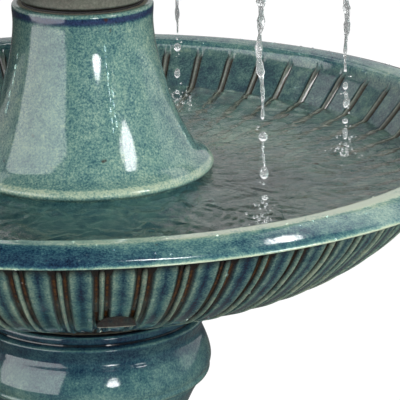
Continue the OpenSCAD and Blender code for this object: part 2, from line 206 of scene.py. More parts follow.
def mixColour(tree, share, a, b, blendType="MIX"):
    made = add(tree, "ShaderNodeMix", data_type="RGBA", blend_type=blendType)
    for place, value in ((0, share), (6, a), (7, b)):
        if isinstance(value, bpy.types.NodeSocket):
            tree.links.new(value, made.inputs[place])
        else:
            made.inputs[place].default_value = value if place == 0 else (*value, 1)
    return made.outputs[2]


def bump(tree, shader, height, strength, distance):
    made = add(tree, "ShaderNodeBump", {"Height": height, "Strength": strength, "Distance": distance})
    tree.links.new(made.outputs[0], shader.inputs["Normal"])


# shade: where the base sits on the run of colours, from deep blue (0) to pale green (1)
glazeLook = {
    "basin": {"shade": 0.50, "patch": 0.34, "mottle": 0.34, "grain": 0.50, "rough": 0.07},
    "stem": {"shade": 0.66, "patch": 0.18, "mottle": 0.22, "grain": 0.62, "rough": 0.07},
    "pedestal": {"shade": 0.54, "patch": 0.24, "mottle": 0.24, "grain": 0.40, "rough": 0.07},
}
glazeRun = [
    (0.00, (0.006, 0.012, 0.028)),
    (0.22, (0.010, 0.036, 0.078)),
    (0.40, (0.032, 0.105, 0.140)),
    (0.54, (0.080, 0.195, 0.200)),
    (0.68, (0.165, 0.310, 0.275)),
    (0.84, (0.300, 0.450, 0.350)),
    (1.00, (0.540, 0.640, 0.470)),
]


def glaze(name, look):
    made, tree, shader = newLook(name)
    at = where(tree)
    patch = noise(tree, at, 14, 3, 0.55, 0.4)
    mottle = noise(tree, at, 95, 4, 0.6, 0.3)
    grain = noise(tree, at, 680, 3, 0.75)
    value = look["shade"]
    for field, gain in ((patch, look["patch"]), (mottle, look["mottle"]), (grain, look["grain"])):
        centred = sums(tree, "SUBTRACT", field, 0.5)
        value = sums(tree, "ADD", sums(tree, "MULTIPLY", centred, gain * 2), value)
    value = sums(tree, "ADD", value, sums(tree, "MULTIPLY", layer(tree, "thinGlazeAndLight"), 0.34))
    value = sums(tree, "SUBTRACT", value, sums(tree, "MULTIPLY", layer(tree, "blue"), 0.26), True)
    colour = ramp(tree, value, glazeRun)
    # the deepest blue breaks up along the grain
    speckle = sums(tree, "MULTIPLY", sums(tree, "SUBTRACT", grain, 0.5), 3.0)
    pooled = sums(tree, "ADD", layer(tree, "blue"), speckle)
    pooled = sums(tree, "MULTIPLY", step(tree, pooled, 0.9, 2.3), 0.8)
    colour = mixColour(tree, pooled, colour, (0.030, 0.048, 0.150))
    # rare rust spots where the glaze has crawled
    spots = step(tree, noise(tree, at, 75, 2, 0.5), 0.74, 0.80)
    colour = mixColour(tree, spots, colour, (0.060, 0.028, 0.022))
    # the near-black tone is painted shade in cuts, recesses, beside the ribs and under the lip; in the
    # grooves it is dark glaze with painted shade, and warm is the glaze's own brown
    grooveBlackAndShade = ramp(tree, noise(tree, at, 240, 3, 0.65), [
        (0.30, (0.003, 0.003, 0.003)), (0.55, (0.010, 0.009, 0.008)), (0.75, (0.026, 0.016, 0.009))])
    warm = ramp(tree, noise(tree, at, 260, 3, 0.65), [
        (0.30, (0.022, 0.009, 0.003)), (0.50, (0.095, 0.036, 0.007)), (0.72, (0.190, 0.082, 0.020))])
    grooveAndShade = mixColour(tree, layer(tree, "warm"), grooveBlackAndShade, warm)
    colour = mixColour(tree, layer(tree, "groove"), colour, grooveAndShade)
    clay = ramp(tree, noise(tree, at, 500, 3, 0.6), [(0.3, (0.22, 0.19, 0.14)), (0.7, (0.46, 0.42, 0.33))])
    colour = mixColour(tree, layer(tree, "bare"), colour, clay)
    tree.links.new(colour, shader.inputs["Base Color"])
    dull = sums(tree, "MULTIPLY", layer(tree, "bare"), 0.5)
    film = sums(tree, "MULTIPLY", noise(tree, at, 60, 2), 0.05)
    rough = sums(tree, "ADD", sums(tree, "ADD", film, look["rough"]), dull)
    tree.links.new(rough, shader.inputs["Roughness"])
    shader.inputs["IOR"].default_value = 1.62
    bump(tree, shader, noise(tree, at, 150, 2), 0.05, 0.0012)
    return made


basinGlaze = glaze("basin_glaze", glazeLook["basin"])
stemGlaze = glaze("stem_glaze", glazeLook["stem"])
pedestalGlaze = glaze("pedestal_glaze", glazeLook["pedestal"])
print("glazes made")

# places across one flute, as shares of its pitch, with the bead at 0
fluteCuts = np.array([-0.5, -0.36, -0.27, -0.22, -0.175, -0.13, -0.085, -0.05, 0,
                      0.05, 0.085, 0.13, 0.175, 0.22, 0.27, 0.36])

basin = {
    "flutes": 60,
    "outsideTurn": -1.4,       # degrees from +X to the first bead
    "insideTurn": -0.3,        # and to the first rib of the inner wall
    "beadRise": 1.5 * mm,
    "grooveDepth": 1.7 * mm,
    "shoulderRise": 0.8 * mm,
    "ribRise": 1.7 * mm,
    "lobeHang": 1.0 * mm,      # how far each panel hangs below the grooves at its lower end
    "size": 272 * mm,          # radius at which the depths above hold
    "lineAt": 0.29,            # share of the way round the lip at which its pale line lies
    "litSide": -35,           # degrees from +X to the lit side of the lip, which is painted paler as painted light
    "reflectionTurn": 1.4,           # radians clockwise from +X to the palest part of the lip's inner edge, where its painted reflection is brightest
    "footBare": 0,             # share of bare clay that shows on the foot
    "spouts": None,
}
upper = {
    "flutes": 42, "outsideTurn": -1.4, "insideTurn": -0.3, "beadRise": 1.5 * mm, "grooveDepth": 2.0 * mm,
    "shoulderRise": 0.8 * mm, "ribRise": 1.4 * mm, "lobeHang": 1.0 * mm, "size": 172 * mm, "lineAt": 0.24,
    "litSide": -35, "reflectionTurn": 1.4, "footBare": 0.6,
    "spouts": {"first": -51, "count": 6, "dip": 9 * mm, "reach": 5.5 * mm, "half": 9 * mm},
}
crown = {
    "flutes": 30, "outsideTurn": -1.4, "insideTurn": -0.3, "beadRise": 1.1 * mm, "grooveDepth": 1.4 * mm,
    "shoulderRise": 0.5 * mm, "ribRise": 0.9 * mm, "lobeHang": 1.0 * mm, "size": 95 * mm, "lineAt": 0.3,
    "litSide": -35, "reflectionTurn": 1.4, "footBare": 0.6,
    "spouts": {"first": -21, "count": 6, "dip": 6 * mm, "reach": 4.5 * mm, "half": 6 * mm},
}

# heights from the rim of the lower bowl
basinZones = [
    ("bore", [(14, -115), (14, -127)], 0),
    ("under", [(62, -127), (62, -137)], 0),
    ("foot", [(63, -137.6), (78, -137.6), (79, -136.8), (79, -131.5)], 0),
    ("flutes", [(86, -130), (130, -116.5), (181, -97.5), (207, -85.5), (232, -68), (255, -44.5),
                (270, -21)], 40),
    ("lip", [(278, -15.4), (296, -12.6), (305, -11), (309, -10), (310, -8.8), (307.4, -6.4),
             (302.4, -4.3), (296.4, -2.1), (291, -0.5), (287.6, 0), (282.5, -0.3), (277, -0.9),
             (273.6, -2.4), (272, -5)], 44),
    ("wall", [(271.5, -9.5), (249, -34), (226, -54), (198, -71), (170, -85), (140, -97.5), (112, -110),
              (96, -114.6)], 26),
    ("floor", [(80, -115), (50, -115), (24, -115)], 0),
]
# heights from the foot of the upper bowl
upperZones = [
    ("bore", [(13, 30), (13, 20)], 0),
    ("under", [(34, 20), (36, 18), (36, 1)], 0),
    ("foot", [(37, 0.2), (45, 0.2), (46.2, 1.2), (46.6, 3), (47.2, 7), (49, 12), (51.5, 16)], 0),
    ("flutes", [(57, 20), (85, 28), (120, 40), (150, 54), (165, 67)], 34),
    ("lip", [(176, 70.4), (184, 71.6), (189.5, 73), (192, 75.8), (190.6, 78.6), (186, 81.2), (179, 83.4),
             (172, 84), (168, 83), (166.3, 80)], 20),
    ("wall", [(166, 77), (154, 65), (138, 56), (112, 46), (84, 37), (64, 30.4)], 22),
    ("floor", [(50, 30), (30, 30)], 0),
]
# heights from the foot of the top bowl
crownZones = [
    ("bore", [(13, 16), (13, 8)], 0),
    ("under", [(20, 8), (21, 7), (21, 1)], 0),
    ("foot", [(21.6, 0.2), (25.5, 0.2), (26.6, 1.2), (27.2, 6)], 0),
    ("flutes", [(31, 10), (52, 16.5), (74, 26), (91, 37)], 22),
    ("lip", [(98, 38.6), (103, 39.5), (106.6, 40.2), (108, 42), (106, 44.4), (101, 46), (96.5, 45.4),
             (93.6, 43)], 14),
    ("wall", [(93, 41.5), (82, 33), (62, 25), (46, 18.5), (36, 16.2)], 14),
    ("floor", [(30, 16), (20, 16)], 0),
]


# How far the outside stands proud at each place across a flute.
def fluteShape(u, look):
    a = np.abs(u)
    bead = look["beadRise"] * np.sqrt(np.clip(1 - (a / 0.058) ** 2, 0, 1))
    groove = -look["grooveDepth"] * ease(a, 0.045, 0.09) * (1 - ease(a, 0.165, 0.225))
    panel = look["shoulderRise"] * ease(a, 0.19, 0.27) * (1 - 0.9 * ease(a, 0.3, 0.5))
    return bead + groove + panel


# Where the glaze thins to pale green, pools blue or leaves the clay bare; painted shade and painted light
# are laid in the same layers.
def paintBowl(rows, u, angle, lift, look):
    zone, along = rows["zone"][:, None], rows["along"][:, None]
    isFlute, isLip, isWall = zone == "flutes", zone == "lip", zone == "wall"
    a = np.abs(u)[None, :]
    paint = blank(len(rows["r"]), len(u))
    # the grooves take the groove layer: dark glaze with painted shade at their edges
    grooveAndShade = ease(a, 0.045, 0.06) * (1 - ease(a, 0.205, 0.24))
    paint["groove"] += isFlute * grooveAndShade * ease(along, 0.015, 0.05)
    # a near-black band at the top of the flutes is painted shadow under the lip
    paint["groove"] += isFlute * ease(along, 0.925, 0.975) * 0.95
    rust = ease(a, 0.075, 0.11) * (1 - ease(a, 0.15, 0.19))
    paint["warm"] += isFlute * rust * (1 - ease(along, 0.90, 0.94))
    onBead = 1.1 * (1 - ease(a, 0.045, 0.07))
    shoulder = 0.75 * ease(a, 0.2, 0.26) * (1 - ease(a, 0.30, 0.42))
    paint["thinGlazeAndLight"] += isFlute * (onBead + shoulder)
    paint["thinGlazeAndLight"] += isFlute * (1 - ease(along, 0.02, 0.09)) * 0.35
    paint["blue"] += isFlute * ease(a, 0.34, 0.46) * 0.9 * ease(along, 0.06, 0.2)
    line = look["lineAt"]
    paleLine = 1.3 * np.exp(-((along - line) / 0.035) ** 2)
    # the lip's top and inner edge are painted paler, most on the front: painted reflection of the bright
    # room
    paintedReflection = (0.45 + 0.4 * np.cos(angle + look["reflectionTurn"])) * ease(along, 0.62, 0.7)
    paint["thinGlazeAndLight"] += isLip * (paleLine + paintedReflection)
    # the lip is painted paler on its side towards the lamps at the right: painted light
    paint["thinGlazeAndLight"] += isLip * 0.75 * ease(np.cos(angle - math.radians(look["litSide"])), 0.35, 1.0)
    paint["blue"] += isLip * ease(along, line + 0.02, line + 0.08) * (1 - ease(along, 0.5, 0.66)) * 0.7
    ribRun = isWall * ease(along, 0.0, 0.03) * (1 - ease(along, 0.9, 1))
    # near-black lines along both sides of each rib are painted shadow beside the rib
    paint["groove"] += ribRun * ease(a, 0.04, 0.06) * (1 - ease(a, 0.10, 0.14))
    paint["bare"] += ribRun * 0.50 * np.exp(-(u / 0.045) ** 2)[None, :]
    # the inner wall is painted darker and greyer than the lip
    paint["groove"] += isWall * 0.26
    paint["bare"] += isWall * 0.06
    paint["thinGlazeAndLight"] += isWall * (1 - ease(along, 0.0, 0.03)) * 0.3
    isFoot = (zone == "foot") | (zone == "under")
    clay = look["footBare"] * ease(rows["z"] - lift, 1.5 * mm, 3 * mm)[:, None]
    # where no clay shows, the foot and its underside are painted near-black: painted shade in the recess
    # beneath the bowl
    paint["groove"] += isFoot * (1 - clay)
    paint["bare"] += isFoot * clay
    return paint


def makeBowl(name, zones, lift, look, body, material, node):
    rows = readOutline(zones, lift)
    pitch = 2 * math.pi / look["flutes"]
    share = (np.arange(look["flutes"])[:, None] + fluteCuts[None, :]).ravel()
    u = np.tile(fluteCuts, look["flutes"])
    m = len(u)
    zone, along = rows["zone"][:, None], rows["along"][:, None]
    isFlute, isLip, isWall, isFloor = zone == "flutes", zone == "lip", zone == "wall", zone == "floor"
    # the turn slides from the beads outside to the ribs inside across the plain lip
    slide = np.where(isLip, along, np.where(isWall | isFloor, 1.0, 0.0))
    turnBy = np.radians(look["outsideTurn"] + (look["insideTurn"] - look["outsideTurn"]) * slide)
    angle = share[None, :] * pitch + turnBy
    r = np.repeat(rows["r"][:, None], m, 1)
    z = np.repeat(rows["z"][:, None], m, 1)
    size = np.sqrt(r / look["size"])
    dr, dz = np.gradient(rows["r"]), np.gradient(rows["z"])
    length = np.hypot(dr, dz)
    outR, outZ = (dz / length)[:, None], (-dr / length)[:, None]
    proud = fluteShape(u, look)[None, :] * size * isFlute * ease(along, 0.0, 0.05)
    rib = np.sqrt(np.clip(1 - (u / 0.06) ** 2, 0, 1)) - 0.5 * np.exp(-((np.abs(u) - 0.09) / 0.03) ** 2)
    ribEnds = ease(along, 0.0, 0.04) * (1 - ease(along, 0.9, 1))
    proud = proud + look["ribRise"] * rib[None, :] * isWall * ribEnds * size
    r, z = r + outR * proud, z + outZ * proud
    lobe = ease(np.abs(u), 0.2, 0.34)[None, :] * isFlute * (1 - ease(along, 0.0, 0.07))
    z = z - look["lobeHang"] * lobe * size
    paint = paintBowl(rows, u, angle, lift, look)
    if look["spouts"]:
        spout = look["spouts"]
        gap = np.radians(360 / spout["count"])
        offset = (angle - math.radians(spout["first"]) + gap / 2) % gap - gap / 2
        across = np.exp(-(offset * r / spout["half"]) ** 2)
        crest = isLip * np.exp(-((along - 0.62) / 0.30) ** 2) + isWall * np.exp(-(along / 0.12) ** 2)
        z = z - spout["dip"] * across * crest
        r = r + spout["reach"] * across * isLip * ease(along, 0.0, 0.3) * (1 - 0.4 * ease(along, 0.6, 1.0))
        paint["thinGlazeAndLight"] += across * crest * 0.4
    piece = gridPiece(name, r * np.cos(angle), r * np.sin(angle), z, paint)
    return finish(piece, body, material, "glaze_deep", node)


basinPiece = makeBowl("lower_bowl_glazed", basinZones, rimZ, basin, "lower_bowl", basinGlaze, "lower_bowl")
makeBowl("upper_bowl_glazed", upperZones, upperFootZ, upper, "upper_bowl", basinGlaze, "upper_bowl")
makeBowl("top_bowl_glazed", crownZones, topFootZ, crown, "top_bowl", basinGlaze, "top_bowl")
print("bowls made")


# The half-round lug on the underside of the lower bowl. Its flat foot is unglazed.
# Heights are from the rim, and inner and outer are radii.
lug = {
    "angle": -82.8,            # degrees from +X
    "half": 13.2 * mm,         # half its width
    "low": -78.4 * mm,
    "high": -69.4 * mm,
    "inner": 212 * mm,
    "outer": 228 * mm,
}


def makeLug():
    across = np.linspace(-1, 1, 25)
    top = np.sqrt(np.clip(1 - across ** 2, 0, 1)) ** 0.8
    rows = []
    for share in (0, 0.02, 0.10, 0.35, 0.65, 0.88, 1.0):
        height = lug["low"] + (lug["high"] - lug["low"]) * share * top
        lean = 3.2 * mm * share ** 2 * top
        depth = lug["outer"] + lean - 0.9 * mm * (share < 0.01) - 2.6 * mm * (1 - top)
        rows.append((across * lug["half"], depth, height))
    for share in (1.0, 0.0):
        height = lug["low"] + (lug["high"] - lug["low"]) * share * top
        rows.append((across * lug["half"], across * 0 + lug["inner"], height))
    side, depth, height = (np.array([row[i] for row in rows]) for i in range(3))
    a = math.radians(lug["angle"])
    x = depth * math.cos(a) - side * math.sin(a)
    y = depth * math.sin(a) + side * math.cos(a)
    n, m = x.shape
    mesh = bpy.data.meshes.new("bowl_foot_lug")
    faces = [(i * m + j, i * m + j + 1, ((i + 1) % n) * m + j + 1, ((i + 1) % n) * m + j)
             for i in range(n) for j in range(m - 1)]
    mesh.from_pydata(np.stack([x, y, height + rimZ], -1).reshape(-1, 3).tolist(), [], faces)
    edge = np.zeros((n, m))
    edge[:2] = 1
    # the dome is painted near-black and brown, darker than the glaze round it, with its flat foot bare
    paint = {"thinGlazeAndLight": 0 * edge, "blue": 0.3 + 0 * edge, "groove": 0.85 * (1 - edge), "warm": 0.25 + 0 * edge,
             "bare": edge}
    for name, values in paint.items():
        paintLayer(mesh, name, values)
    mesh.shade_smooth()
    mesh.set_sharp_from_angle(angle=math.radians(40))
    piece = bpy.data.objects.new("bowl_foot_lug", mesh)
    scene.collection.objects.link(piece)
    return finish(piece, "lower_bowl", basinGlaze, "glaze_deep")


makeLug()


def makeTurned(name, zones, lift, columns, paintRows, body, look, slot, node):
    rows = readOutline(zones, lift)
    n = len(rows["r"])
    angle = np.linspace(0, 2 * math.pi, columns, endpoint=False)[None, :]
    r, z = rows["r"][:, None], rows["z"][:, None] + 0 * angle
    paint = blank(n, columns)
    for layerName, values in paintRows(rows).items():
        paint[layerName] += values[:, None]
    piece = gridPiece(name, r * np.cos(angle), r * np.sin(angle), z, paint)
    return finish(piece, body, look, slot, node)


# heights below are from the rim of the lower bowl
stemZones = [
    ("foot", [(78, -113.5), (88, -113.5)], 0),
    ("wall", [(88, -110), (88, -60), (88, -36.5)], 12),
    ("skirt", [(89.5, -34), (94, -31.6), (95, -29.4), (94.2, -27.4), (92, -25.6)], 10),
    ("bell", [(90.5, -24.6), (84, -20.3), (78.7, -12.5), (73.3, -2.7), (68.6, 7.2), (64.2, 19),
              (60.6, 30.6), (57.6, 41.3), (55.2, 51), (53.3, 60.5), (52.2, 68.2), (51.5, 78.5),
              (51.9, 87)], 48),
    ("rim", [(52, 89.5), (51.6, 91.6), (50.4, 92.4), (49, 92.5)], 8),
    ("top", [(47, 92.5), (41, 92.5)], 0),
    ("inside", [(40.3, 91.5), (41, 78), (44, 58), (49, 38), (57, 13), (66, -7), (74, -22), (78, -37),
                (78, -75), (78, -112)], 26),
]


def paintStem(rows):
    zone, along, z = rows["zone"], rows["along"], rows["z"]
    top = stemTopZ - z
    thinGlazeAndLight = (zone == "rim") * 0.1 + (zone == "skirt") * ease(along, 0.35, 0.6) * 0.7
    blue = ease(top, 1.8 * mm, 3.6 * mm) * (1 - ease(top, 5 * mm, 10 * mm)) * (zone != "inside") * 2.0
    blue = blue + (zone == "wall") * 0.8
    return {"thinGlazeAndLight": thinGlazeAndLight, "blue": blue, "bare": ((zone == "foot") | (zone == "top")) * 1.0}


makeTurned("stem_glazed", stemZones, rimZ, 256, paintStem, "stem", stemGlaze, "glaze_pale", "stem")

# heights below are from the top of the pedestal
pedestalZones = [
    ("top", [(40, 0), (78, 0)], 0),
    ("cut", [(79, 0), (82.5, 0)], 0),
    ("ringOne", [(84, -0.4), (84.9, -1.4), (85.1, -3.4), (84.6, -5.2), (83.2, -6.2)], 10),
    ("cut", [(82.3, -7.0), (82.5, -7.8)], 0),
    ("ringTwo", [(84.5, -8.3), (87, -9), (87.8, -10.4), (87.2, -12.2)], 8),
    ("neck", [(86, -14.5), (84.2, -19), (84.4, -22.5), (86.3, -26)], 12),
    ("bulge", [(88, -30), (90.4, -37), (91.5, -43), (91.2, -47), (90.2, -50), (90.3, -51.6), (90.5, -53),
               (89.4, -55.2), (86, -56.6)], 28),
    ("waist", [(84.6, -57.5), (82.9, -62), (79, -69), (74.3, -79), (67.5, -92), (62, -105), (58, -122),
               (56.5, -144), (57.5, -175), (60, -208.5), (64, -236), (70, -263), (78, -288), (88, -309),
               (100, -325), (106, -333)], 60),
    ("beadRing", [(109, -336), (113.5, -338.5), (116, -343.5), (113.5, -348.5), (109.5, -351.5)], 14),
    ("cove", [(110, -353), (113, -362), (121, -371), (130, -376.5)], 12),
    ("plinth", [(133, -378), (136, -383), (136.5, -394), (136, -404), (133, -409), (131, -409.5)], 16),
    ("base", [(128, -409.5), (112, -409.5)], 0),
    ("inside", [(112, -400), (112, -376), (98, -350), (76, -314), (60, -264), (50, -209), (46, -144),
                (51, -105), (68, -64), (73, -12)], 30),
    ("deck", [(71, -11), (41, -11), (40, -10)], 0),
]


def paintPedestal(rows):
    zone, along = rows["zone"], rows["along"]
    # pale lines along the edges of the two rings and near the foot of the bulge: pale thin glaze with a
    # painted highlight
    thinGlazeAndLight = (zone == "ringOne") * np.exp(-((along - 0.1) / 0.14) ** 2) * 0.7
    thinGlazeAndLight = thinGlazeAndLight + (zone == "ringTwo") * np.exp(-((along - 0.45) / 0.16) ** 2) * 0.7
    thinGlazeAndLight = thinGlazeAndLight + (zone == "bulge") * (np.exp(-((along - 0.86) / 0.07) ** 2) * 0.5 + 0.12)
    thinGlazeAndLight = thinGlazeAndLight + (zone == "beadRing") * 0.5
    thinGlazeAndLight = thinGlazeAndLight + (zone == "plinth") * np.exp(-((along - 0.2) / 0.15) ** 2) * 0.5
    blue = (zone == "ringOne") * 0.9 + (zone == "ringTwo") * 0.8 + (zone == "neck") * 0.7
    # the cuts round the top and between the rings are painted dark blue and near-black; the near-black is
    # painted shade in these recesses
    blue = blue + (zone == "cut") * 1.0
    blue = blue + (zone == "bulge") * (1 - ease(along, 0.0, 0.5)) * 0.3
    groove = (zone == "cut") * 0.8
    return {"thinGlazeAndLight": thinGlazeAndLight, "blue": blue, "groove": groove,
            "bare": ((zone == "base") | (zone == "top") | (zone == "inside") | (zone == "deck")) * 1.0}


makeTurned("pedestal_glazed", pedestalZones, pedestalTopZ, 256, paintPedestal, "pedestal", pedestalGlaze,
           "glaze_deep", "pedestal")

# heights below are from the rim of the upper bowl
upperStemZones = [
    ("foot", [(37, -52.5), (45, -52.5)], 0),
    ("wall", [(45, -50), (45, -30), (45, -12.6)], 8),
    ("skirt", [(47, -11), (51, -8.4), (52, -6.2), (51.6, -4.2), (50, -2.6)], 10),
    ("bell", [(48.6, -1.4), (44, 3), (40.6, 9), (38, 16), (34.6, 26), (32, 36), (29.8, 47), (28.5, 58),
              (27.9, 70)], 32),
    ("rim", [(28, 73), (27.6, 76), (26.6, 77)], 6),
    ("top", [(24, 77), (20.4, 77)], 0),
    ("inside", [(20, 75), (21, 55), (24, 34), (30, 14), (36, 0), (37, -12), (37, -51)], 20),
]


def paintUpperStem(rows):
    zone, along = rows["zone"], rows["along"]
    thinGlazeAndLight = (zone == "rim") * 0.35 + (zone == "skirt") * ease(along, 0.2, 0.5) * 0.8
    blue = (zone == "bell") * ease(along, 0.84, 0.90) * 1.6 * (1 - ease(along, 0.95, 1))
    blue = blue + (zone == "wall") * 0.8
    return {"thinGlazeAndLight": thinGlazeAndLight, "blue": blue, "bare": ((zone == "foot") | (zone == "top")) * 1.0}


makeTurned("upper_stem_glazed", upperStemZones, upperRimZ, 160, paintUpperStem, "upper_stem", stemGlaze,
           "glaze_pale", "upper_stem")


# The finial is a lobed bud with a small cup at its tip. Heights are from the rim of the top bowl.
finialLobes = {"count": 10, "depth": 1.3 * mm}
finialZones = [
    ("bore", [(18.5, -28.5), (18.5, -20), (8.1, -19.5)], 0),
    ("shaft", [(8.1, 20), (5, 28), (5, 45)], 0),
    ("cup", [(5.4, 46.2), (9, 46.6), (11.5, 51), (12.6, 52), (13.9, 51.6), (14.4, 50.4)], 0),
    ("neck", [(13.6, 48.6), (13, 46.5), (14, 44.4)], 5),
    ("bud", [(15.5, 42.6), (19, 39.4), (22, 36), (24.6, 31), (25.4, 26), (24, 20), (20.8, 13.6),
             (17, 9.6)], 30),
    ("waist", [(14.4, 7.4), (12.6, 5), (13.2, 2.4), (15.6, 0.8), (20.6, -1), (24, -2.8)], 14),
    ("collar", [(26, -5), (26, -14), (26, -27)], 6),
    ("base", [(25.2, -28.5), (20, -28.5)], 0),
]


def makeFinial():
    rows = readOutline(finialZones, topRimZ)
    angle = np.linspace(0, 2 * math.pi, 160, endpoint=False)[None, :]
    zone, along = rows["zone"][:, None], rows["along"][:, None]
    swell = np.sin(np.pi * along) * (zone == "bud")
    valley = np.exp(-(((angle * finialLobes["count"] / (2 * math.pi) + 0.5) % 1 - 0.5) / 0.09) ** 2)
    r = rows["r"][:, None] - finialLobes["depth"] * swell * valley
    z = rows["z"][:, None] + 0 * angle
    paint = blank(len(rows["r"]), 160)
    paint["blue"] += swell * valley * 1.2 + (zone == "waist") * 0.6
    paint["thinGlazeAndLight"] += (zone == "cup") * 0.5 + swell * (1 - valley) * 0.15
    paint["bare"] += (zone == "base") * 1.0 + (zone == "bore") * 1.0
    piece = gridPiece("finial_glazed", r * np.cos(angle), r * np.sin(angle), z, paint)
    return finish(piece, "finial", stemGlaze, "glaze_pale", "finial")


makeFinial()
print("column made")

pool = {
    "level": rimZ - 34.5 * mm,
    "outer": 250 * mm,
    "inner": 9 * mm,
    "ripple": 0.30 * mm,       # height of the ripples, root mean square
    "ring": 0.55 * mm,         # height of the rings round each falling stream
    "swirlSide": 255,          # degrees from +X to the side where the water swirls most
    "seed": 11,
}
# broken: strand and drops of a stream, as top and bottom in mm above the water, and width as a share.
# Other streams follow the first three in turn. sway is how far each lands off its line, in mm.
streams = {
    "first": -51, "count": 6, "radius": 196.5 * mm, "drift": 2.5 * mm,
    "thick": 2.7 * mm, "top": upperRimZ - 3 * mm, "seed": 5,
    "sway": [(4, 10), (-2.5, -8), (-5, -11), (2, 0), (0, 3), (1, -2)],
    "broken": [
        [(None, 73, 1), (67, 60, 1.15), (61, 41, 0.42), (42, 33, 1.15), (22, 18, 0.9)],
        [(None, 62, 1), (57, 51, 0.8), (50, 37, 0.9), (29, 25, 0.9), (22, 13, 0.8)],
        [(None, 56, 0.9), (52, 45, 1.1), (31, 23, 0.9), (13, 10, 0.8)],
    ],
}
topStreams = {
    "first": -21, "count": 6, "radius": 112.5 * mm, "drift": 1.5 * mm,
    "thick": 1.6 * mm, "top": topRimZ - 2 * mm, "seed": 9,
    "sway": [(0, 0), (1, 0), (-1, 1), (0, -1), (1, 1), (-1, 0)],
    "broken": [
        [(None, 26, 1), (22, 15, 0.9), (9, 5, 0.9)],
        [(None, 38, 1), (34, 27, 0.9), (20, 12, 0.8), (6, 3, 0.8)],
    ],
}
upperPool = {
    "level": upperRimZ - 11.5 * mm, "inner": 46 * mm, "outer": 158.5 * mm,
    "ripple": 0.15 * mm, "ring": 0.35 * mm,
}
topPool = {
    "level": topRimZ - 8 * mm, "inner": 25 * mm, "outer": 87.5 * mm,
    "ripple": 0.15 * mm, "ring": 0,
}
splash = {"spread": 16 * mm, "tall": 22 * mm, "drops": 46}
topSplash = {"spread": 9 * mm, "tall": 9 * mm, "drops": 16}


# A sum of small plane waves going all ways, of unit height, with lengths between long and short.
def ripples(x, y, seed, long, short, count=90):
    rng = np.random.default_rng(seed)
    height = np.zeros_like(x)
    total = 0
    for _ in range(count):
        wave = long * (short / long) ** rng.random()
        way, start = rng.random(2) * 2 * math.pi
        size = wave ** 1.1
        height += size * np.sin((x * math.cos(way) + y * math.sin(way)) * 2 * math.pi / wave + start)
        total += size * size / 2
    return height / math.sqrt(total)


def waterLook(name, tint, chop, clear=1.0):
    made, tree, shader = newLook(name)
    at = where(tree)
    shader.inputs["Base Color"].default_value = (*tint, 1)
    shader.inputs["Transmission Weight"].default_value = clear
    shader.inputs["IOR"].default_value = 1.333
    shader.inputs["Roughness"].default_value = 0.02
    bump(tree, shader, noise(tree, at, 210, 3, 0.55, 0.8), chop, 0.0012)
    through = add(tree, "ShaderNodeBsdfTransparent", {"Color": (*tint, 1)})
    path = add(tree, "ShaderNodeLightPath")
    shadow = path.outputs["Is Shadow Ray"]
    mix = add(tree, "ShaderNodeMixShader", {0: shadow, 1: shader.outputs[0], 2: through.outputs[0]})
    out = next(n for n in tree.nodes if n.type == "OUTPUT_MATERIAL")
    tree.links.new(mix.outputs[0], out.inputs[0])
    return made


poolWater = waterLook("pool_water", (0.68, 0.70, 0.62), 0.45)
fallingWater = waterLook("falling_water", (0.97, 0.99, 0.99), 0.8, 0.90)


def streamPlaces(look):
    angles = np.radians(look["first"] + np.arange(look["count"]) * 360 / look["count"])
    return [(math.cos(a), math.sin(a)) for a in angles]


# A water surface with ripples all over and rings round each place in landings.
def makePool(name, look, rowCount, columns, landings, body):
    radii = np.linspace(look["outer"], look["inner"], rowCount)
    angle = np.linspace(0, 2 * math.pi, columns, endpoint=False)
    r, a = np.meshgrid(radii, angle, indexing="ij")
    x, y = r * np.cos(a), r * np.sin(a)
    bendX = 4 * mm * ripples(x, y, 3, 60 * mm, 30 * mm, 12)
    bendY = 4 * mm * ripples(x, y, 4, 60 * mm, 30 * mm, 12)
    swell = 1 + 0.9 * np.exp(-((a - math.radians(pool["swirlSide"])) / 0.8) ** 2)
    waves = ripples(x + bendX, y + bendY, pool["seed"], 26 * mm, 6.5 * mm)
    z = look["level"] + look["ripple"] * swell * waves
    for place in landings:
        far = np.hypot(x + 0.4 * bendX - place[0], y + 0.4 * bendY - place[1])
        fade = np.exp(-far / (32 * mm)) * ease(far, 0, 4 * mm)
        z += look["ring"] * np.sin(far * 2 * math.pi / (8.5 * mm)) * fade
    piece = gridPiece(name, x, y, z, None, loop=False, sharp=180)
    return finish(piece, body, poolWater, "tube_vinyl")


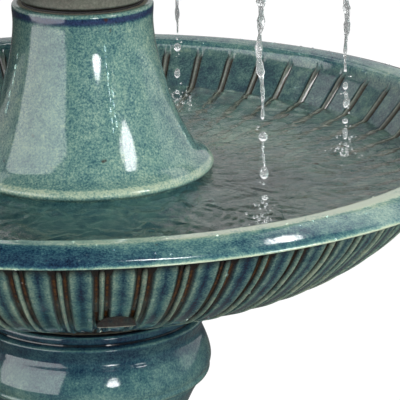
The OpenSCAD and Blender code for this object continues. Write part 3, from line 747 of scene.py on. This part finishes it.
# Closed blobs of water, each turned about a nearly upright line, joined into one mesh.
def blobMesh(name, blobs, body, around=10):
    points, faces = [], []
    for x, y, low, high, wide, lean, waist, seed in blobs:
        rng = np.random.default_rng(seed)
        rows = int(np.clip((high - low) / (0.9 * mm), 7, 60))
        t = np.linspace(0.02, 0.98, rows)
        shape = np.sin(np.pi * t) ** 0.42
        if waist:
            waves = np.linspace(0, (high - low) / (17 * mm) * math.pi * 2, rows)
            shape = shape * (1 - waist * (0.5 + 0.5 * np.sin(waves + rng.random() * 6)))
            shape = shape * (1 - 0.25 * waist * np.sin(2.7 * waves + rng.random() * 6))
        twist = rng.random() * 6 + np.linspace(0, (high - low) / (14 * mm), rows)
        spin = np.linspace(0, 2 * math.pi, around, endpoint=False)
        flat = 1 + 0.28 * (waist > 0) * np.cos(2 * (spin[None, :] - twist[:, None]))
        radius = wide * shape[:, None] * flat
        sway = 0.5 * wide * np.sin(twist * 1.3) * (waist > 0)
        sway = sway * np.sin(np.pi * t)
        px = x + lean[0] * (high - low) * (1 - t)[:, None] + sway[:, None] + radius * np.cos(spin)[None, :]
        py = y + lean[1] * (high - low) * (1 - t)[:, None] + radius * np.sin(spin)[None, :]
        pz = (low + (high - low) * t)[:, None] + 0 * radius
        base = len(points)
        points.extend(np.stack([px, py, pz], -1).reshape(-1, 3).tolist())
        for i in range(rows - 1):
            for j in range(around):
                k = (j + 1) % around
                faces.append((base + i * around + j, base + i * around + k,
                              base + (i + 1) * around + k, base + (i + 1) * around + j))
        faces.append(tuple(base + j for j in range(around))[::-1])
        faces.append(tuple(base + (rows - 1) * around + j for j in range(around)))
    mesh = bpy.data.meshes.new(name)
    mesh.from_pydata(points, [], faces)
    mesh.shade_smooth()
    piece = bpy.data.objects.new(name, mesh)
    scene.collection.objects.link(piece)
    return finish(piece, body, fallingWater, "tube_vinyl")


# Each stream leaves its spout as a twisting strand and breaks into drops as it falls.
def makeStreams(label, look, level, body):
    for i, (cx, cy) in enumerate(streamPlaces(look)):
        rng = np.random.default_rng(look["seed"] * 100 + i)
        fall = look["top"] - level
        swayX, swayY = (value * mm for value in look["sway"][i])
        leanX, leanY = (cx * look["drift"] + swayX) / fall, (cy * look["drift"] + swayY) / fall
        blobs = []
        for top, bottom, share in look["broken"][i % len(look["broken"])]:
            high = look["top"] if top is None else level + top * mm
            low = level + bottom * mm
            done = look["top"] - high
            x, y = cx * look["radius"] + leanX * done, cy * look["radius"] + leanY * done
            waist = 0.45 if high - low > 12 * mm else 0
            wide = look["thick"] * share
            blobs.append((x, y, low, high, wide, (leanX, leanY), waist, i * 50 + len(blobs)))
            for _ in range(2):      # drops thrown off the side
                dx, dy = (rng.random(2) - 0.5) * 9 * mm
                small = (0.4 + 0.6 * rng.random()) * mm
                z = low - 4 * mm * rng.random()
                blobs.append((x + dx, y + dy, z - small, z + small, small, (0, 0), 0, 1))
        blobMesh(f"{label}_{i + 1}", blobs, body)


# Drops in the air round a landing, and bubbles that lie on the water.
def makeSplash(label, places, level, body, look):
    spread = look["spread"]
    blobs = []
    for i, (px, py) in enumerate(places):
        rng = np.random.default_rng(70 + i)
        for _ in range(look["drops"]):
            way, far = rng.random() * 2 * math.pi, spread * rng.random() ** 0.8
            small = (0.35 + 0.95 * rng.random() ** 2) * mm
            rise = look["tall"] * rng.random() ** 2 * (1 - 0.5 * far / spread)
            x, y, z = px + far * math.cos(way), py + far * math.sin(way), level + rise
            blobs.append((x, y, z - small * (1 + rng.random()), z + small, small, (0, 0), 0, 1))
    blobMesh(label, blobs, body, 8)


def landingPlaces(look):
    far = look["radius"] + look["drift"]
    pairs = zip(streamPlaces(look), look["sway"])
    return [(cx * far + sway[0] * mm, cy * far + sway[1] * mm) for (cx, cy), sway in pairs]


landings, topLandings = landingPlaces(streams), landingPlaces(topStreams)
makePool("pool_surface", pool, 104, 900, landings, "lower_bowl")
makePool("upper_water", upperPool, 60, 420, topLandings, "upper_bowl")
makePool("top_water", topPool, 34, 240, [], "top_bowl")
makeStreams("stream", streams, pool["level"], "upper_bowl")
makeStreams("top_stream", topStreams, upperPool["level"], "top_bowl")
makeSplash("splash", landings, pool["level"], "lower_bowl", splash)
makeSplash("top_splash", topLandings, upperPool["level"], "upper_bowl", topSplash)


# Thin runs of water down the bell: angle in degrees, then top and bottom in mm above the rim.
trickles = [(-70, 71, 6), (-67.4, 41, 12), (-12, 2, -14), (-150, 60, 20)]


def makeTrickles():
    rows = readOutline([zone for zone in stemZones if zone[0] == "bell"], rimZ)
    rng = np.random.default_rng(17)
    blobs = []
    for angle, top, bottom in trickles:
        z = rimZ + top * mm
        while z > rimZ + bottom * mm:
            length = (2 + 5 * rng.random()) * mm
            a = math.radians(angle + 0.9 * (rng.random() - 0.5))
            high, low = np.interp([z, z - length], rows["z"], rows["r"])
            lean = (math.cos(a) * (low - high) / length, math.sin(a) * (low - high) / length)
            wide = (0.45 + 0.75 * rng.random() ** 2) * mm
            x, y = math.cos(a) * high, math.sin(a) * high
            blobs.append((x, y, z - length, z, wide, lean, 0, 1))
            z -= length * (0.85 + 0.9 * rng.random())
    blobMesh("stem_trickles", blobs, "stem", 8)


makeTrickles()


# Water wells from the cup of the finial and runs down the bud.
def makeWell():
    outline = [
        ("dome", [(0.2, 54), (3.6, 53.8), (7.4, 53), (11, 52.6), (13.6, 52.2), (14.8, 50.6),
                  (14.2, 48)], 14),
        ("film", [(14, 46.4), (16.2, 43.2), (22.6, 36.8), (25.8, 29), (25.9, 24), (24, 19)], 22),
        ("inner", [(23, 19.6), (24.6, 25), (24.2, 30), (21.4, 36), (15, 42.4), (12.6, 47), (13, 50),
                   (11, 49.6), (6, 49), (0.2, 49)], 20),
    ]
    rows = readOutline(outline, topRimZ)
    angle = np.linspace(0, 2 * math.pi, 96, endpoint=False)[None, :]
    far, high = rows["r"][:, None], rows["z"][:, None]
    x, y = np.cos(angle) * 20 * mm + 0 * high, np.sin(angle) * 20 * mm + 0.5 * high
    wave = ripples(x, y, 21, 14 * mm, 5 * mm, 40)
    outside = (rows["zone"][:, None] != "inner") * (far > 5 * mm)
    r = far + 0.25 * mm * wave * outside
    z = np.minimum(high + 0 * angle, finialTopZ - 0.1 * mm)
    piece = gridPiece("finial_water", r * np.cos(angle), r * np.sin(angle), z, None, sharp=180)
    return finish(piece, "finial", fallingWater, "tube_vinyl")


makeWell()


# Small beads of water that lie on the lip, the flutes and the dry part of the inner wall.
def makeBeads(piece, body, name, count, seed):
    rng = np.random.default_rng(seed)
    mesh = piece.data
    total = len(mesh.polygons)
    centre, normal = np.empty(total * 3), np.empty(total * 3)
    mesh.polygons.foreach_get("center", centre)
    mesh.polygons.foreach_get("normal", normal)
    centre, normal = centre.reshape(-1, 3), normal.reshape(-1, 3)
    far = np.hypot(centre[:, 0], centre[:, 1])
    high, up = centre[:, 2], normal[:, 2]
    glazed = (far > 96 * mm) & (high > rimZ - 126 * mm) & ((up > 0.2) | (far > 120 * mm))
    dry = (high > pool["level"] + 3 * mm) | (high < rimZ - 22 * mm) & (up < 0)
    chosen = rng.choice(np.where(glazed & dry)[0], count, replace=False)
    ring = np.linspace(0, 2 * math.pi, 8, endpoint=False)
    points, faces = [], []
    for index in chosen:
        out = Vector(normal[index]).normalized()
        side = out.orthogonal().normalized()
        across = out.cross(side)
        wide = (0.35 + 0.75 * rng.random() ** 3) * mm
        base = len(points)
        for lift, width in ((-0.25, 0.9), (0.12, 1.0), (0.42, 0.78), (0.6, 0.4)):
            for a in ring:
                sideways, upward = side * (width * wide * math.cos(a)), across * (width * wide * math.sin(a))
                points.append(Vector(centre[index]) + out * (lift * wide) + sideways + upward)
        for i in range(3):
            low, top = base + i * 8, base + (i + 1) * 8
            for j in range(8):
                k = (j + 1) % 8
                faces.append((low + j, low + k, top + k, top + j))
        faces.append(tuple(base + 24 + j for j in range(8)))
        faces.append(tuple(base + j for j in range(8))[::-1])
    beads = bpy.data.meshes.new(name)
    beads.from_pydata(points, [], faces)
    beads.shade_smooth()
    made = bpy.data.objects.new(name, beads)
    scene.collection.objects.link(made)
    return finish(made, body, fallingWater, "tube_vinyl")


makeBeads(basinPiece, "lower_bowl", "water_beads", 1500, 31)
print("water made")


# Fine-grained finish between two tones, with its own bump.
def partLook(name, dark, light, scale, rough, metal=0.0, grit=0.15, stretch=(1, 1, 1)):
    made, tree, shader = newLook(name)
    at = add(tree, "ShaderNodeMapping", {"Vector": where(tree), "Scale": stretch}).outputs[0]
    tone = noise(tree, at, scale, 4, 0.65)
    tree.links.new(ramp(tree, tone, [(0.3, dark), (0.7, light)]), shader.inputs["Base Color"])
    wear = sums(tree, "MULTIPLY", noise(tree, at, scale * 0.2, 3), 0.18)
    tree.links.new(sums(tree, "ADD", wear, rough - 0.09), shader.inputs["Roughness"])
    shader.inputs["Metallic"].default_value = metal
    bump(tree, shader, noise(tree, at, scale * 1.6, 2), grit, 0.0004)
    return made


def foamLook():
    made, tree, shader = newLook("filter_foam")
    cellNode = add(tree, "ShaderNodeTexVoronoi", {"Vector": where(tree), "Scale": 620.0}, feature="F1")
    cells = cellNode.outputs["Distance"]
    tree.links.new(ramp(tree, cells, [(0.1, (0.003, 0.008, 0.03)), (0.6, (0.025, 0.06, 0.18))]),
                   shader.inputs["Base Color"])
    shader.inputs["Roughness"].default_value = 0.95
    bump(tree, shader, cells, 0.8, 0.001)
    return made


def bandedLook(name, dark, light, scale, direction, rough, metal):
    made, tree, shader = newLook(name)
    bands = add(tree, "ShaderNodeTexWave", {"Vector": where(tree), "Scale": scale, "Distortion": 0.4},
                bands_direction=direction).outputs["Fac"]
    tree.links.new(ramp(tree, bands, [(0.2, dark), (0.8, light)]), shader.inputs["Base Color"])
    shader.inputs["Roughness"].default_value = rough
    shader.inputs["Metallic"].default_value = metal
    bump(tree, shader, bands, 0.5, 0.0004)
    return made


def tubeLook():
    made, tree, shader = newLook("vinyl_tube")
    at = add(tree, "ShaderNodeMapping", {"Vector": where(tree), "Scale": (1, 1, 0.08)}).outputs[0]
    haze = noise(tree, at, 320, 3)
    milky = ramp(tree, haze, [(0.3, (0.62, 0.70, 0.72)), (0.7, (0.84, 0.90, 0.90))])
    tree.links.new(milky, shader.inputs["Base Color"])
    tree.links.new(sums(tree, "MULTIPLY", haze, 0.3), shader.inputs["Roughness"])
    shader.inputs["Transmission Weight"].default_value = 0.75
    shader.inputs["IOR"].default_value = 1.53
    return made


rubberLook = partLook("moulded_rubber", (0.012, 0.012, 0.013), (0.035, 0.035, 0.036), 420, 0.72, grit=0.3)
pumpLook = partLook("pump_plastic", (0.014, 0.015, 0.017), (0.030, 0.032, 0.035), 700, 0.42, grit=0.35)
dialLook = partLook("dial_plastic", (0.010, 0.120, 0.140), (0.020, 0.190, 0.210), 500, 0.38, grit=0.2)
impellerLook = partLook("impeller_plastic", (0.62, 0.62, 0.58), (0.78, 0.78, 0.74), 400, 0.4)
steelLook = partLook("turned_steel", (0.45, 0.45, 0.46), (0.66, 0.66, 0.66), 900, 0.26, 1.0, 0.1, (1, 1, 8))
ferriteLook = partLook("sintered_ferrite", (0.030, 0.030, 0.034), (0.070, 0.070, 0.074), 800, 0.6, 0.2, 0.3)
laminationLook = bandedLook(
    "stator_laminations", (0.08, 0.08, 0.09), (0.34, 0.35, 0.37), 320, "Y", 0.4, 1.0)
copperLook = bandedLook("coil_copper", (0.24, 0.08, 0.025), (0.62, 0.27, 0.10), 300, "Z", 0.32, 1.0)

dress = {
    "pedestal_feet": rubberLook, "bowl_seat_gasket": rubberLook, "lead_stopper": rubberLook,
    "stem_gasket": rubberLook, "upper_bowl_gasket": rubberLook, "upper_bowl_grommet": rubberLook,
    "upper_stem_gasket": rubberLook,
    "top_bowl_gasket": rubberLook, "top_bowl_grommet": rubberLook, "finial_gasket": rubberLook,
    "shaft_bushes": rubberLook, "suction_cups": rubberLook, "lead_gland": rubberLook,
    "riser_tube": tubeLook(), "tube_clamp": pumpLook, "pump_body": pumpLook, "pump_volute": pumpLook,
    "inlet_cover": pumpLook, "flow_dial": dialLook, "impeller": impellerLook, "volute_screws": steelLook,
    "impeller_shaft": steelLook, "rotor_magnet": ferriteLook, "stator_core": laminationLook,
    "stator_coils": copperLook, "filter_foam": foamLook(),
}
for node, look in dress.items():
    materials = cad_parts[node].data.materials
    if materials:
        for i in range(len(materials)):
            materials[i] = look
    else:
        materials.append(look)
print("pump and rubber dressed")

studioFloor = {
    "half": 14,                # metres from the middle to each edge
    "glow": 1.2,               # brightness that only the camera sees
    "share": 0.85,             # share of that glow in what the camera sees
}
half = studioFloor["half"]
floorMesh = bpy.data.meshes.new("studio_floor")
corners = [(-half, -half, 0), (half, -half, 0), (half, half, 0), (-half, half, 0)]
floorMesh.from_pydata(corners, [], [(0, 1, 2, 3)])
floor = bpy.data.objects.new("studio_floor", floorMesh)
scene.collection.objects.link(floor)
floorLook, floorTree, floorShader = newLook("studio_floor")
floorShader.inputs["Base Color"].default_value = (0.16, 0.16, 0.16, 1)
floorShader.inputs["Roughness"].default_value = 0.9
glow = add(floorTree, "ShaderNodeEmission", {"Color": (1.0, 1.0, 1.0, 1), "Strength": studioFloor["glow"]})
floorSeen = add(floorTree, "ShaderNodeLightPath").outputs["Is Camera Ray"]
floorShare = sums(floorTree, "MULTIPLY", floorSeen, studioFloor["share"])
floorMix = add(floorTree, "ShaderNodeMixShader",
               {0: floorShare, 1: floorShader.outputs[0], 2: glow.outputs[0]})
floorOut = next(n for n in floorTree.nodes if n.type == "OUTPUT_MATERIAL")
floorTree.links.new(floorMix.outputs[0], floorOut.inputs[0])
floor.data.materials.append(floorLook)

aim = Vector((0, 0, rimZ))


# Each lamp: azimuth right of the camera's side and elevation in degrees, then distance, width and height in
# metres, brightness and outline. A scrim only shows in the glaze, and the fill only lights.
lamps = {
    "left_scrim": (-58, 11, 1.7, 2.2, 2.1, 2.9, "RECTANGLE"),
    "right_scrim": (84, 2, 2.0, 1.9, 1.7, 0.2, "RECTANGLE"),
    "lamp_near": (22, 8.5, 2.4, 0.50, 0.42, 17, "ELLIPSE"),
    "lamp_right": (54, 30, 1.25, 0.33, 0.46, 13, "ELLIPSE"),
    "lamp_overhead": (142, 76, 2.1, 0.42, 0.13, 24, "ELLIPSE"),
    "lamp_back": (148, 55.5, 2.3, 0.13, 0.13, 24, "ELLIPSE"),
    "front_fill": (12, 20, 3.0, 1.6, 1.2, 8.5, "RECTANGLE"),
}


def softLamp(name, azimuth, elevation, distance, width, height, brightness, shape):
    data = bpy.data.lights.new(name, "AREA")
    data.shape = shape
    data.size, data.size_y = width, height
    data.energy = brightness * math.pi * width * height * (math.pi / 4 if shape == "ELLIPSE" else 1)
    lamp = bpy.data.objects.new(name, data)
    scene.collection.objects.link(lamp)
    a, e = math.radians(azimuth), math.radians(elevation)
    out = Vector((math.sin(a) * math.cos(e), -math.cos(a) * math.cos(e), math.sin(e)))
    facing = out.to_track_quat("Z", "Y").to_matrix().to_4x4()
    lamp.matrix_world = Matrix.Translation(aim + out * distance) @ facing
    lamp.visible_diffuse = not name.endswith("scrim")
    lamp.visible_glossy = not name.endswith("fill")


for name, settings in lamps.items():
    softLamp(name, *settings)

world = bpy.data.worlds.new("studio")
scene.world = world
world.use_nodes = True
worldTree = world.node_tree
worldTree.nodes.clear()
# What the glaze mirrors from behind the bowl. The pairs are where each part fades in, as a share of the
# direction, and the single numbers are strengths.
room = {
    "behind": (0.05, 0.25),
    "bandFrom": (0.57, 0.61), "bandTo": (0.74, 0.76), "band": 1.2,
    "lowTo": (0.50, 0.53), "low": 0.72,
    "base": 0.07,
}
direction = add(worldTree, "ShaderNodeTexCoord").outputs["Generated"]
split = add(worldTree, "ShaderNodeSeparateXYZ", {0: direction})
behind = step(worldTree, split.outputs["Y"], *room["behind"])
height = split.outputs["Z"]
band = sums(worldTree, "MULTIPLY", step(worldTree, height, *room["bandFrom"]),
            sums(worldTree, "SUBTRACT", 1.0, step(worldTree, height, *room["bandTo"])))
lowPart = sums(worldTree, "SUBTRACT", 1.0, step(worldTree, height, *room["lowTo"]))
level = sums(worldTree, "ADD", sums(worldTree, "MULTIPLY", band, room["band"]),
             sums(worldTree, "MULTIPLY", lowPart, room["low"]))
level = sums(worldTree, "ADD", sums(worldTree, "MULTIPLY", behind, level), room["base"])
paths = add(worldTree, "ShaderNodeLightPath")
# the air itself looks plain white, straight or through water
seen = sums(worldTree, "MAXIMUM", paths.outputs["Is Camera Ray"], paths.outputs["Is Transmission Ray"])
level = add(worldTree, "ShaderNodeMix", {0: seen, 2: level, 3: 1.0}, data_type="FLOAT").outputs[0]
backdrop = add(worldTree, "ShaderNodeBackground", {"Color": (1.0, 1.0, 1.0, 1), "Strength": level})
add(worldTree, "ShaderNodeOutputWorld", {0: backdrop.outputs[0]})
scene.view_settings.view_transform = "Standard"
print("studio made")
